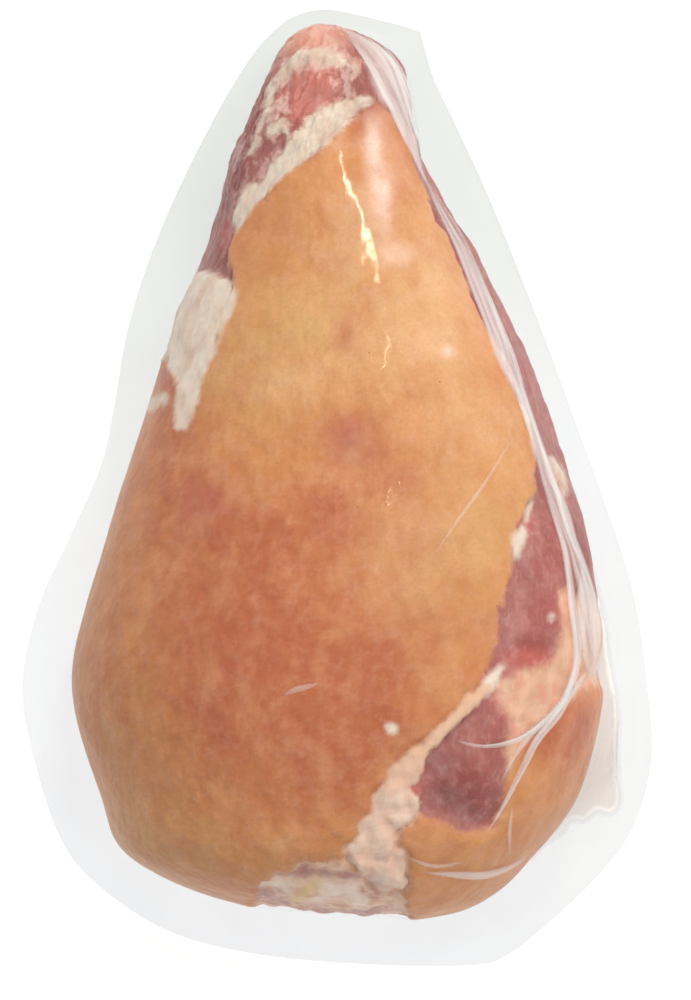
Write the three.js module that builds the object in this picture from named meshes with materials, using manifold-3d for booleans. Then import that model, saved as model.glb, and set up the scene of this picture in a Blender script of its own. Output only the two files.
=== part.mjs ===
// A raw pork knuckle with its skin on, drawn tight in a clear vacuum bag and lying on its flat side.
// Millimetres. +Z is up and +Y runs from the wide ham end to the shank tip. The origin lies on the
// resting plane, under the middle of the bag. The film hugs the meat, so bag and meat are one solid:
// the knuckle with its relief, the welded skirt round it and the gathers where the film stands off.
import * as THREE from "three";
import { mergeVertices } from "three/addons/utils/BufferGeometryUtils.js";
import Module from "manifold-3d";

const wasm = await Module();
wasm.setup();

// Driving dimensions
const bagLength = 243;
const bagWidth = 160;
const knuckleLength = 224.5;
const knuckleWidth = 134;
const knuckleHeight = 84;
const hamEndY = -108.8;
const rindThickness = 3;
const bulgeReach = 13; // bare meat sinks below the rind's edge, and bulges level with it this far off
const skirtThickness = 0.8;
const skirtHeight = 11;
const mergeWithin = 0.2; // faces this close to flat are joined

const ringsAlong = 96;
const facesAround = 60;
const topCrowding = 0.35; // moves the faces of a ring towards its top, where the detail is

const clamp = THREE.MathUtils.clamp;
const smoothstep = THREE.MathUtils.smoothstep;

// ---- The knuckle's main form ----

// Cross-sections from the ham end (turn 0) to the shank tip (turn 1). Turn counts the degrees of a half
// circle, so both ends close round. left and right are shares of the half width, top and under of the height.
const crossSections = [
  { turn: 0, left: 0.16, right: 0.16, top: 0.4, under: 0.4 },
  { turn: 0.08, left: -0.31, right: 0.51, top: 0.7, under: 0.09 },
  { turn: 0.17, left: -0.77, right: 0.73, top: 0.9, under: 0 },
  { turn: 0.25, left: -0.89, right: 0.91, top: 0.97, under: 0 },
  { turn: 0.35, left: -0.99, right: 1, top: 1, under: 0 },
  { turn: 0.46, left: -0.86, right: 0.93, top: 0.95, under: 0 },
  { turn: 0.57, left: -0.68, right: 0.76, top: 0.84, under: 0 },
  { turn: 0.62, left: -0.605, right: 0.65, top: 0.762, under: 0 },
  { turn: 0.66, left: -0.52, right: 0.553, top: 0.7, under: 0 },
  { turn: 0.75, left: -0.4, right: 0.344, top: 0.6, under: 0.02 },
  { turn: 0.87, left: -0.24, right: 0.235, top: 0.47, under: 0.06 },
  { turn: 0.95, left: -0.13, right: 0.09, top: 0.36, under: 0.12 },
  { turn: 1, left: -0.06, right: -0.06, top: 0.24, under: 0.24 },
];
const sideSquareness = 2.25;
const topSquareness = 2.15;
const underSquareness = 3.6;
const waistShare = 0.42; // height of the widest line within a section
const underPress = 3; // how far the soft underside is pressed flat

// A smooth curve through one column of a table, read at a given turn.
function smoothColumn(rows, column, turn) {
  const at = clamp(rows.findIndex((row) => row.turn >= turn), 1, rows.length - 1);
  const slope = (i) => {
    const before = rows[Math.max(i - 1, 0)];
    const after = rows[Math.min(i + 1, rows.length - 1)];
    return (after[column] - before[column]) / (after.turn - before.turn);
  };
  const [start, end] = [rows[at - 1], rows[at]];
  const span = end.turn - start.turn;
  const s = (turn - start.turn) / span;
  return (
    start[column] * (1 + 2 * s) * (1 - s) ** 2 +
    end[column] * (3 - 2 * s) * s ** 2 +
    span * s * (1 - s) * (slope(at - 1) * (1 - s) - slope(at) * s)
  );
}

function sectionAt(turn) {
  const halfWidth = knuckleWidth / 2;
  return {
    y: hamEndY + (knuckleLength * (1 - Math.cos(Math.PI * turn))) / 2,
    left: smoothColumn(crossSections, "left", turn) * halfWidth,
    right: smoothColumn(crossSections, "right", turn) * halfWidth,
    top: smoothColumn(crossSections, "top", turn) * knuckleHeight,
    under: smoothColumn(crossSections, "under", turn) * knuckleHeight,
  };
}

const rounded = (value, squareness) => Math.sign(value) * Math.abs(value) ** (2 / squareness);

// A point of the smooth body. The angle runs from the right side (0) over the top to the left side (pi).
function smoothBody(turn, angle) {
  const { y, left, right, top, under } = sectionAt(turn);
  const waist = under + (top - under) * waistShare;
  const across = rounded(Math.cos(angle), sideSquareness);
  const upwards = Math.sin(angle);
  const pressed = under - underPress * Math.sin(Math.PI * turn);
  return new THREE.Vector3(
    (left + right) / 2 + (across * (right - left)) / 2,
    y,
    upwards >= 0
      ? waist + (top - waist) * rounded(upwards, topSquareness)
      : waist + (waist - pressed) * rounded(upwards, underSquareness),
  );
}

function outwardAt(turn, angle) {
  const step = 0.01;
  const mid = clamp(turn, step, 1 - step);
  const along = smoothBody(mid + step, angle).sub(smoothBody(mid - step, angle));
  const around = smoothBody(mid, angle + step).sub(smoothBody(mid, angle - step));
  return around.cross(along).normalize().negate();
}

// ---- What the surface carries: rind, fat, the open slit and the shank's end ----

// A place on the skin as seen from above. Below the widest line the across value runs on past the side,
// by the way down the side and in under the belly.
function seenFromAbove(turn, angle) {
  const { x, y, z } = smoothBody(turn, angle);
  if (Math.sin(angle) >= 0) return new THREE.Vector2(x, y);
  const { left, right, top, under } = sectionAt(turn);
  const down = under + (top - under) * waistShare - z;
  const across = Math.cos(angle) >= 0 ? right + (right - x) + down : left - (x - left) - down;
  return new THREE.Vector2(across, y);
}

function closedOutline(points) {
  const corners = points.map(([x, y]) => new THREE.Vector3(x, y, 0));
  const curve = new THREE.CatmullRomCurve3(corners, true, "catmullrom", 0.5);
  return curve.getPoints(4 * points.length).slice(0, -1);
}

// Outlines seen from above, in millimetres. The rind covers the back and the left side, passes under the
// belly, and comes up again on the right as the far lip of the slit.
const rindOutline = closedOutline([
  [10, 95], [-8, 81], [-20, 73], [-26, 60], [-26, 45], [-33, 25], [-38, 15], [-43, 29], [-60, 36], [-66, 48],
  [-57, 68], [-60, 84], [-90, 92], [-200, 84], [-200, -60], [-200, -170], [0, -170], [200, -170], [200, -60],
  [200, 84], [90, 90], [48, 84], [54, 62], [66, 38], [78, 8], [84, -20], [76, -40], [64, -51], [55, -61],
  [46, -75], [33, -90], [20, -94], [9, -84], [17, -66], [33, -50], [39, -36], [43, -14], [51, 1], [48.6, 19],
  [37, 44], [25.5, 70],
]);
const fatSeamOutline = closedOutline([
  [35, -48], [24, -64], [18, -75], [20, -84], [17, -93], [16, -101], [6, -98], [2, -89], [9, -76], [20, -62],
]);
const fatPatchOutline = closedOutline([
  [-27, 53], [-27, 40], [-32, 28], [-38, 15], [-41, 24], [-48, 34], [-54, 44], [-48, 55], [-36, 56],
]);

// Distance inside a closed outline, negative outside it.
function depthInside(outline, place) {
  let nearest = Infinity;
  let inside = false;
  outline.forEach((a, i) => {
    const b = outline[(i + 1) % outline.length];
    const edge = new THREE.Vector2(b.x - a.x, b.y - a.y);
    const from = new THREE.Vector2(place.x - a.x, place.y - a.y);
    const share = clamp(from.dot(edge) / edge.lengthSq(), 0, 1);
    nearest = Math.min(nearest, from.sub(edge.multiplyScalar(share)).length());
    if (a.y > place.y !== b.y > place.y && place.x < a.x + ((b.x - a.x) * (place.y - a.y)) / (b.y - a.y)) {
      inside = !inside;
    }
  });
  return inside ? nearest : -nearest;
}

// Soft swellings and hollows: where, how far they reach across and along, and how high they rise
const swells = [
  { name: "bone end", x: -5, y: 111, across: 10, along: 8, rise: 2.5 },
  { name: "tendon lobe", x: 15, y: 100, across: 6, along: 13, rise: 1.5 },
  { name: "groove beside the bone end", x: 5, y: 99, across: 3.5, along: 9, rise: -2.5 },
  { name: "hollow under the bone end", x: -2, y: 97, across: 8, along: 3.5, rise: -1.5 },
  { name: "shank muscle", x: -26, y: 72, across: 5, along: 14, rise: 0.8 },
  { name: "calf muscle in the slit", x: 52, y: -22, across: 9, along: 18, rise: 0.8 },
  { name: "fatty lobe in the slit", x: 54, y: -52, across: 8, along: 11, rise: 1.5 },
  { name: "muscle head under the seam", x: 33, y: -75, across: 9, along: 9, rise: 0.8 },
  { name: "dip across the rind", x: -5, y: 8, across: 30, along: 14, rise: -1.5 },
  { name: "ham bulge", x: -25, y: -45, across: 26, along: 30, rise: 1.5 },
];

const swellAt = (place, s) =>
  s.rise * Math.exp(-(((place.x - s.x) / s.across) ** 2) - ((place.y - s.y) / s.along) ** 2);

// The cut face of the ham end, where fat and meat show between the drawn-in edges of the rind
const cutFace = { x: -1, z: 44, halfWidth: 23, halfHeight: 30, behindY: -84, depth: 2.2 };

function cutFaceShare(point) {
  const across = (point.x - cutFace.x) / cutFace.halfWidth;
  const upwards = (point.z - cutFace.z) / cutFace.halfHeight;
  const reach = Math.hypot(across, upwards);
  return (1 - smoothstep(reach, 0.75, 1.1)) * (1 - smoothstep(point.y, cutFace.behindY - 8, cutFace.behindY));
}

// Fat that the film has pressed into pea-sized beads
const beadPitch = 8.5;

function beadAt({ x, y }) {
  const [across, along] = [(Math.PI * x) / beadPitch, (Math.PI * y) / beadPitch];
  return Math.abs(Math.sin(across + 0.37 * along) * Math.sin(along));
}

function reliefAt(turn, angle) {
  const place = seenFromAbove(turn, angle);
  const rindDepth = depthInside(rindOutline, place);
  const rind = smoothstep(rindDepth, -2.5, 2.5);
  const besideRind = smoothstep(rindDepth, -bulgeReach, 0);
  const seam = smoothstep(depthInside(fatSeamOutline, place), -2, 2);
  const patch = smoothstep(depthInside(fatPatchOutline, place), -2, 2);
  const cut = cutFaceShare(smoothBody(turn, angle));
  const cover = Math.max(rind * (1 - seam), 0.8 * seam, 0.9 * patch);
  return (
    1.6 * seam * beadAt(place) +
    swells.reduce((sum, s) => sum + swellAt(place, s), 0) -
    rindThickness * besideRind * (1 - cover) -
    cutFace.depth * cut
  );
}

// The knuckle's own skin: the smooth body carried in or out by its relief and pressed flat underneath
function knucklePoint(turn, angle) {
  const point = smoothBody(turn, angle);
  point.addScaledVector(outwardAt(turn, angle), reliefAt(turn, angle));
  point.z = Math.max(point.z, 0);
  return point;
}

// ---- Making closed solids ----

// A closed skin of rings from one end (turn 0) to the other (turn 1), each end drawn to a point
function closedSkin(around, rings, pointAt) {
  const skin = new THREE.SphereGeometry(1, around, rings);
  skin.deleteAttribute("normal");
  skin.deleteAttribute("uv");
  const merged = mergeVertices(skin);
  const corners = merged.getAttribute("position");
  for (let i = 0; i < corners.count; i++) {
    const turn = 1 - Math.acos(clamp(corners.getY(i), -1, 1)) / Math.PI;
    const angle = Math.atan2(corners.getZ(i), corners.getX(i));
    corners.setXYZ(i, ...pointAt(turn, angle).toArray());
  }
  return merged;
}

function solidFrom(geometry) {
  const welded = mergeVertices(geometry, 1e-3);
  const vertProperties = new Float32Array(welded.getAttribute("position").array);
  const triVerts = new Uint32Array(welded.index.array);
  return new wasm.Manifold(new wasm.Mesh({ numProp: 3, vertProperties, triVerts }));
}

function geometryFrom(solid) {
  const mesh = solid.getMesh();
  const geometry = new THREE.BufferGeometry();
  geometry.setAttribute("position", new THREE.BufferAttribute(new Float32Array(mesh.vertProperties), 3));
  geometry.setIndex(new THREE.BufferAttribute(new Uint32Array(mesh.triVerts), 1));
  geometry.computeVertexNormals();
  return geometry;
}

// ---- The bag's welded skirt ----

// The skirt's cut edge seen from above, counter-clockwise from the top, with one scissor-cut corner at the
// right of the shank
const skirtCorners = [
  [-2, 119.6], [-15.5, 114.5], [-29, 95.8], [-38.8, 77], [-46.8, 58.2], [-52.5, 39.5], [-55.8, 20.8],
  [-59, 6], [-66, -10.5], [-74.5, -29.2], [-78.8, -48], [-77, -64], [-70.5, -85.5], [-61.8, -98],
  [-43.5, -110.5], [-20.8, -116.8], [8.2, -119.5], [34, -119.5], [43, -116.8], [54.5, -107.5], [64.5, -98],
  [74, -85.5], [79, -68], [77.8, -48], [74.4, -26], [67.5, -4.2], [58.5, 20.8], [49, 45.8], [39, 70.8],
  [30.5, 89.5], [24.5, 102], [21.3, 112.5], [20, 114.4], [11, 116.9],
];
const skirtPieces = 128;
const lowerRings = [0, 0.75, 0.88, 1]; // shares of the way out to the edge
const upperRings = [1, 0.97, 0.93, 0.89, 0.84, 0.78, 0.7, 0];

function skirtEdge() {
  const curve = new THREE.CatmullRomCurve3(
    skirtCorners.map(([x, y]) => new THREE.Vector3(x, y, 0)),
    true,
    "centripetal",
  );
  const edge = curve.getSpacedPoints(skirtPieces).slice(0, -1);
  const box = new THREE.Box3().setFromPoints(edge);
  const size = box.getSize(new THREE.Vector3());
  const middle = box.getCenter(new THREE.Vector3());
  return edge.map((p) =>
    p.sub(middle).multiply(new THREE.Vector3(bagWidth / size.x, bagLength / size.y, 1)),
  );
}

// The skirt is soft: its edge lifts and dips as it goes round, and droops away from the weld.
function skirtLevel(round, inFromEdge) {
  const lift = 2.2 * Math.sin(3 * round + 0.6) + 1.3 * Math.sin(7 * round + 2) + 0.8 * Math.sin(12 * round);
  return skirtHeight + (lift - 3) * (1 - smoothstep(inFromEdge, 0, 14));
}

// How far the upper film stands above the weld: a hollow flare all round, and a pleated tent on the right,
// where the shrunk film bridges from the knuckle's side to the skirt.
const flare = { rise: 7, from: 7, to: 22 };
const tent = { x: 78, y: -58, reach: 30, rise: 26, from: 4, to: 20, pleats: 44, pleatDepth: 1.5 };

function filmRise(rim, round, inFromEdge) {
  const away = Math.hypot(rim.x - tent.x, rim.y - tent.y) / tent.reach;
  const share = Math.exp(-(away ** 2));
  const slope = smoothstep(inFromEdge, tent.from, tent.to);
  const pleat = Math.max(tent.pleatDepth * Math.sin(tent.pleats * round), 0) * smoothstep(inFromEdge, 2, 8);
  const hollow = smoothstep(inFromEdge, flare.from, flare.to);
  return flare.rise * hollow * (1 - share) + share * (tent.rise * slope + pleat);
}

function skirtSolid() {
  const edge = skirtEdge();
  const half = skirtThickness / 2;
  const under = lowerRings.map((out) => new THREE.Vector2(out, -half));
  const over = upperRings.map((out) => new THREE.Vector2(out, half));
  const disc = new THREE.LatheGeometry([...under, ...over], skirtPieces);
  disc.deleteAttribute("normal");
  disc.deleteAttribute("uv");
  const corners = disc.getAttribute("position");
  for (let i = 0; i < corners.count; i++) {
    const out = Math.hypot(corners.getX(i), corners.getZ(i));
    const round = (Math.atan2(corners.getX(i), corners.getZ(i)) + 2 * Math.PI) % (2 * Math.PI);
    const rim = edge[Math.round((round / (2 * Math.PI)) * skirtPieces) % skirtPieces];
    const inFromEdge = (1 - out) * rim.length();
    const rise = corners.getY(i) > 0 ? filmRise(rim, round, inFromEdge) : 0;
    corners.setXYZ(i, rim.x * out, rim.y * out, skirtLevel(round, inFromEdge) + corners.getY(i) + rise);
  }
  return solidFrom(disc);
}

// ---- Gathers, where the shrunk film bridges a hollow or folds on itself ----

// Each runs over the knuckle through places given as [turn, degrees round from the right side], and
// swells to its radius in the middle. lift carries its centre off the meat.
const gathers = [
  {
    radius: 3.6,
    lift: -1.4,
    places: [[0.955, 100], [0.87, 52], [0.76, 38], [0.66, 33], [0.57, 26], [0.48, 22], [0.4, 12]],
  },
  { radius: 2.4, lift: -0.6, places: [[0.44, 14], [0.4, 22], [0.36, 31], [0.31, 42], [0.29, 56]] },
  { radius: 2.4, lift: -0.6, places: [[0.36, 12], [0.32, 22], [0.27, 34], [0.22, 42], [0.19, 44]] },
];

function gatherSolid({ radius, lift, places }) {
  const route = new THREE.CatmullRomCurve3(
    places.map(([turn, degrees]) => {
      const angle = THREE.MathUtils.degToRad(degrees);
      return knucklePoint(turn, angle).addScaledVector(outwardAt(turn, angle), lift);
    }),
  );
  const up = new THREE.Vector3(0, 0, 1);
  const fold = (turn, angle) => {
    const tangent = route.getTangentAt(turn);
    const side = tangent.clone().cross(up).normalize();
    const rise = side.clone().cross(tangent);
    const thick = radius * Math.sin(Math.PI * turn) ** 0.6;
    return route
      .getPointAt(turn)
      .addScaledVector(side, thick * Math.cos(angle))
      .addScaledVector(rise, thick * Math.sin(angle));
  };
  return solidFrom(closedSkin(8, 3 * places.length, fold));
}

// ---- The vacuum pack ----

const crowded = (angle) => angle + topCrowding * Math.cos(angle);
const knuckle = solidFrom(
  closedSkin(facesAround, ringsAlong, (turn, angle) => knucklePoint(turn, crowded(angle))),
).simplify(mergeWithin);
const pack = gathers.reduce((solid, gather) => solid.add(gatherSolid(gather)), knuckle.add(skirtSolid()));

const vacuumPack = new THREE.Mesh(
  geometryFrom(pack),
  new THREE.MeshStandardMaterial({ color: 0xcf9468, roughness: 0.3, metalness: 0 }),
);
vacuumPack.name = "vacuum_pack";

const porkKnuckle = new THREE.Group();
porkKnuckle.add(vacuumPack);

export default porkKnuckle;
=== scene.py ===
import math

import bpy
import numpy as np
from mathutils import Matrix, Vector, noise
from mathutils.bvhtree import BVHTree


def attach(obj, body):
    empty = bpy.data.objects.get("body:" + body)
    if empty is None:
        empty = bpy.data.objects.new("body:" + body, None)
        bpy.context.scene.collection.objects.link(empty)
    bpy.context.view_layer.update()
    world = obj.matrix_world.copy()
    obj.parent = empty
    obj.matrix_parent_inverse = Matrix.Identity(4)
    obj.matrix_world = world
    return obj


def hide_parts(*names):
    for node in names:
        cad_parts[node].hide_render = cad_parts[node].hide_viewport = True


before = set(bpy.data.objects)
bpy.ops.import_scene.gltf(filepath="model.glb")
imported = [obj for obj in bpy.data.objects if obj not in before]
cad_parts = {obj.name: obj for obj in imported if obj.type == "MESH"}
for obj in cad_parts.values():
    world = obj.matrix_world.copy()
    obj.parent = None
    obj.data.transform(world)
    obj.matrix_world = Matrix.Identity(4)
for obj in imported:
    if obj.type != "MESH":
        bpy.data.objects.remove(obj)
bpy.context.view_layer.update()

# ---- The knuckle ----
# A whole raw pork knuckle with its rind on. The rind wraps the back and the belly, and draws apart in a
# slit down the right side and round the shank's end, where fat, muscle and the bone's end show. Seen
# from above it is a pear, and it lies on a belly that its own weight presses flat.
MM = 0.001
KNUCKLE_LENGTH = 224.5
KNUCKLE_WIDTH = 134
KNUCKLE_HEIGHT = 84
HAM_END_Y = -108.8
RIND_THICKNESS = 3
UNDER_FILM = 0.5  # the meat lies this far inside the bag's outer face

# Cross-sections from the ham end to the shank tip: turn (how far round a half circle from end to end), the
# left and right sides as shares of the half width, and the top and underside as shares of the height
SECTIONS = np.array([
    (0, 0.16, 0.16, 0.4, 0.4),
    (0.08, -0.31, 0.51, 0.7, 0.09),
    (0.17, -0.77, 0.73, 0.9, 0),
    (0.25, -0.89, 0.91, 0.97, 0),
    (0.35, -0.99, 1, 1, 0),
    (0.46, -0.86, 0.93, 0.95, 0),
    (0.57, -0.68, 0.76, 0.84, 0),
    (0.62, -0.605, 0.65, 0.762, 0),
    (0.66, -0.52, 0.553, 0.7, 0),
    (0.75, -0.4, 0.344, 0.6, 0.02),
    (0.87, -0.24, 0.235, 0.47, 0.06),
    (0.95, -0.13, 0.09, 0.36, 0.12),
    (1, -0.06, -0.06, 0.24, 0.24),
])
SIDE_SQUARENESS = 2.25
TOP_SQUARENESS = 2.15
UNDER_SQUARENESS = 3.6
WAIST_SHARE = 0.42  # height of the widest line within a section
UNDER_PRESS = 3


def smooth_column(column, turn):
    """One measure of the cross-sections, on a smooth curve through its rows."""
    rows = SECTIONS[:, 0]
    at = np.clip(np.searchsorted(rows, turn, side="left"), 1, len(rows) - 1)
    before = np.maximum(np.arange(len(rows)) - 1, 0)
    after = np.minimum(np.arange(len(rows)) + 1, len(rows) - 1)
    value = SECTIONS[:, column]
    slope = (value[after] - value[before]) / (rows[after] - rows[before])
    span = rows[at] - rows[at - 1]
    s = (turn - rows[at - 1]) / span
    return (
        value[at - 1] * (1 + 2 * s) * (1 - s) ** 2
        + value[at] * (3 - 2 * s) * s**2
        + span * s * (1 - s) * (slope[at - 1] * (1 - s) - slope[at] * s)
    )


def section_at(turn):
    """One cross-section: where it is along the knuckle, and its four sides."""
    y = HAM_END_Y + KNUCKLE_LENGTH * (1 - np.cos(math.pi * turn)) / 2
    left, right = (smooth_column(c, turn) * KNUCKLE_WIDTH / 2 for c in (1, 2))
    top, under = (smooth_column(c, turn) * KNUCKLE_HEIGHT for c in (3, 4))
    return y, left, right, top, under


def rounded(value, squareness):
    """A sine or cosine with its curve filled out, as on a square with round corners."""
    return np.sign(value) * np.abs(value) ** (2 / squareness)


def smooth_body(turn, angle):
    """Points of the plain body. The angle runs from the right side (0) over the top to the left (pi)."""
    y, left, right, top, under = section_at(turn)
    waist = under + (top - under) * WAIST_SHARE
    upwards = np.sin(angle)
    pressed = under - UNDER_PRESS * np.sin(math.pi * turn)
    x = (left + right) / 2 + rounded(np.cos(angle), SIDE_SQUARENESS) * (right - left) / 2
    z = np.where(
        upwards >= 0,
        waist + (top - waist) * rounded(upwards, TOP_SQUARENESS),
        waist + (waist - pressed) * rounded(upwards, UNDER_SQUARENESS),
    )
    return np.stack([x, y, z], axis=-1)


def outward_at(turn, angle):
    """The direction out of the plain body."""
    step = 0.01
    middle = np.clip(turn, step, 1 - step)
    along = smooth_body(middle + step, angle) - smooth_body(middle - step, angle)
    around = smooth_body(middle, angle + step) - smooth_body(middle, angle - step)
    out = np.cross(along, around)
    return out / np.maximum(np.linalg.norm(out, axis=-1, keepdims=True), 1e-9)


def seen_from_above(turn, angle):
    """Where a point of the skin is seen from above. Below the widest line the across value runs on past
    the side, by the way down the side and in under the belly."""
    x, y, z = np.moveaxis(smooth_body(turn, angle), -1, 0)
    _, left, right, top, under = section_at(turn)
    down = under + (top - under) * WAIST_SHARE - z
    past = np.where(np.cos(angle) >= 0, right + (right - x) + down, left - (x - left) - down)
    return np.where(np.sin(angle) >= 0, x, past), y


def smooth_step(value, low, high):
    s = np.clip((value - low) / (high - low), 0, 1)
    return s * s * (3 - 2 * s)


def closed_outline(points, pieces=5):
    """A smooth closed curve through points, as corners close together."""
    p = np.array(points, dtype=float)
    before, after, later = (np.roll(p, shift, axis=0) for shift in (1, -1, -2))
    s = np.linspace(0, 1, pieces, endpoint=False)[None, :, None]
    p, before, after, later = (q[:, None, :] for q in (p, before, after, later))
    curve = 0.5 * (
        2 * p + (after - before) * s + (2 * before - 5 * p + 4 * after - later) * s**2
        + (3 * p - before - 3 * after + later) * s**3
    )
    return curve.reshape(-1, 2)


def depth_inside(points, x, y):
    """Millimetres inside a smooth closed outline, negative outside it."""
    outline = closed_outline(points)
    nearest = np.full(x.shape, 1e9)
    inside = np.zeros(x.shape, dtype=bool)
    for (ax, ay), (bx, by) in zip(outline, np.roll(outline, -1, axis=0)):
        ex, ey = bx - ax, by - ay
        share = np.clip(((x - ax) * ex + (y - ay) * ey) / max(ex * ex + ey * ey, 1e-9), 0, 1)
        nearest = np.minimum(nearest, (x - ax - share * ex) ** 2 + (y - ay - share * ey) ** 2)
        if ay != by:
            crossed = (ay > y) != (by > y)
            inside ^= crossed & (x < ax + ex * (y - ay) / (by - ay))
    return np.where(inside, 1, -1) * np.sqrt(nearest)


def depth_in_strip(points, x, y):
    """Millimetres inside a strip that runs through points of (x, y, half width)."""
    depth = np.full(x.shape, -1e9)
    for (ax, ay, aw), (bx, by, bw) in zip(points, points[1:]):
        ex, ey = bx - ax, by - ay
        share = np.clip(((x - ax) * ex + (y - ay) * ey) / max(ex * ex + ey * ey, 1e-9), 0, 1)
        away = np.hypot(x - ax - share * ex, y - ay - share * ey)
        depth = np.maximum(depth, aw + share * (bw - aw) - away)
    return depth


def spot(x, y, place):
    """A soft round patch: its middle and how far it reaches across and along."""
    px, py, across, along = place
    return np.exp(-(((x - px) / across) ** 2) - ((y - py) / along) ** 2)


# Outlines seen from above, in millimetres. The rind passes under the belly and comes up again on the
# right as the far lip of the slit.
RIND_OUTLINE = [
    (9.6, 96), (3, 93.4), (-1.8, 88), (-9, 82), (-17, 76), (-23.6, 68), (-26.5, 63), (-28.3, 57),
    (-27.4, 50), (-31, 40), (-35, 30), (-38, 27), (-41, 31), (-46, 36), (-52, 41), (-60, 44), (-66, 52),
    (-57, 68), (-60, 84), (-90, 92), (-200, 84), (-200, -60), (-200, -170), (0, -170), (200, -170),
    (200, -60), (200, 84), (90, 90), (48, 84), (54, 62), (66, 38), (78, 8), (86, -20), (82, -44),
    (64, -50), (57, -54), (51, -60), (47, -66), (44, -74), (42, -80), (38, -84.5), (30, -84), (24, -80.5),
    (19, -79), (15, -82), (11, -78), (16, -68), (24, -61), (31, -54), (36, -48), (38, -44), (39.2, -38),
    (40.2, -30.5), (42.5, -23), (43.8, -17), (45, -10), (47.5, -5), (50.2, -1), (50.4, 6.5), (49, 14.5),
    (46.4, 23.2), (43.2, 30.8), (39.8, 38.2), (36.2, 44.5), (32.8, 53.2), (29.8, 62), (25, 70),
    (21.4, 80.8), (16.6, 90.8),
]
SEAM_OUTLINE = [
    (36, -47.5), (29.5, -53.5), (23.2, -59.2), (15.8, -65.5), (10.8, -71.8), (8.8, -75), (8.8, -79),
    (6.2, -81.8), (5, -85.5), (2.2, -88.5), (3, -91.8), (5.2, -93.8), (6.8, -96.8), (8.2, -99.8),
    (11.2, -101.8), (14.5, -101.5), (17.5, -99.5), (18.2, -95.5), (16.8, -91.8), (15.8, -89), (15, -84.5),
    (18.2, -82.5), (20.8, -79), (20.5, -75.5), (18.4, -73.5), (19.5, -71.8), (23.2, -65.5), (29.5, -58),
    (35, -52.5), (38, -49),
]
FAT_PATCH_OUTLINE = [
    (-27, 52), (-25.6, 47), (-28.6, 39), (-32, 29.5), (-34.8, 21.5), (-37.4, 15.4), (-39.6, 15.4),
    (-40, 19.5), (-40.2, 24.5), (-42.2, 30), (-47, 34), (-53, 40), (-53, 50), (-46, 57), (-36, 55),
    (-31, 53.6),
]
LOBE_OUTLINE = [
    (55, -27), (60, -26), (72, -34), (84, -42), (66, -54), (58, -56), (52, -61), (48, -67), (44, -72),
    (41.5, -64), (41.5, -55), (39.5, -47), (44.5, -44.5), (51, -43), (54.5, -36),
]
# Strips of fat and white tissue, and two white specks that are painted glints, as points of (x, y, half
# width)
FAT_STRIPS = {
    "fat under the rind's end": [
        (9, 98, 1.2), (4, 97, 2.6), (-1, 93, 4), (-6, 88, 4), (-11, 84, 3.2), (-16, 79, 2.6),
        (-20, 74.5, 2.4), (-26, 68, 2.2),
    ],
    "collar round the bone end": [
        (-14.5, 102, 0.6), (-11, 105.6, 1.5), (-7, 107, 1.6), (-1, 106.8, 1.3), (5, 105, 0.7),
    ],
    "white under the collar": [(-17, 96, 0.4), (-16.5, 100, 1), (-14, 103, 0.5)],
    "white at the slit's top": [(49.2, -3, 0.8), (48, -6.5, 1.2)],
    "white flake": [(46.5, -10, 1.2), (45, -13, 2.1), (44.8, -15.5, 1.6)],
    "white between the muscles": [(41, -44, 1.2), (38, -47, 2.0), (36, -50, 1.2)],
    "pale gap on the right": [(55.5, 8, 0.4), (57.2, 4, 0.9), (57.6, -1, 0.8)],
    "edge of the rind by the slit": [(41.6, 34, 0.3), (45.6, 24.5, 0.8), (48.8, 16, 0.9), (50.6, 8, 0.7)],
    "streak over the shank muscle": [(-22, 84, 0.5), (-18, 92, 1.1), (-17, 98, 0.8)],
    "end of the fat band": [(-22, 74, 2.4), (-24.5, 69, 2.6), (-26, 65, 1.4)],
    "patch by the side": [(-43.5, 22.5, 1.4), (-47, 21, 1.6)],
    # painted glint: a small white speck where the film catches the light
    "painted glint on the muscle": [(51.8, -31.3, 0.6), (52.6, -31.8, 0.7)],
    "white by the gland": [(-17, 89, 0.8), (-14, 90.5, 1.2), (-12.5, 88, 0.8)],
    # painted glint: a small white speck where the film catches the light
    "painted glint on the rind": [(13, -58.3, 1.1), (13.6, -58.7, 0.9)],
}
DARK_STRIPS = {
    "between collar and fat": [(2, 101, 1.6), (4.5, 98, 2.2), (3, 96, 1.2)],
    "red streak": [(-32, 57, 2.4), (-30, 64, 3), (-28, 72, 3), (-25, 80, 2), (-22, 88, 1.4)],
    "beside the bone end": [(0, 111, 0.8), (2.5, 108, 1.6), (3, 105, 0.8)],
    "under the bone end": [(-12, 93, 0.5), (-8, 91, 1), (2, 100, 0.8), (5, 99, 0.8)],
    "gland": [(-13, 86, 1), (-10.5, 84.8, 1.2)],
    "low in the slit": [(26, -68, 4), (31, -73, 5.5), (38, -79, 4)],
    "middle of the slit": [(46, -38, 1.6), (52, -41, 1.5)],
    "right of the slit": [(56, 0, 1.5), (60, -12, 1.5), (63, -20, 1)],
}
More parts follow.
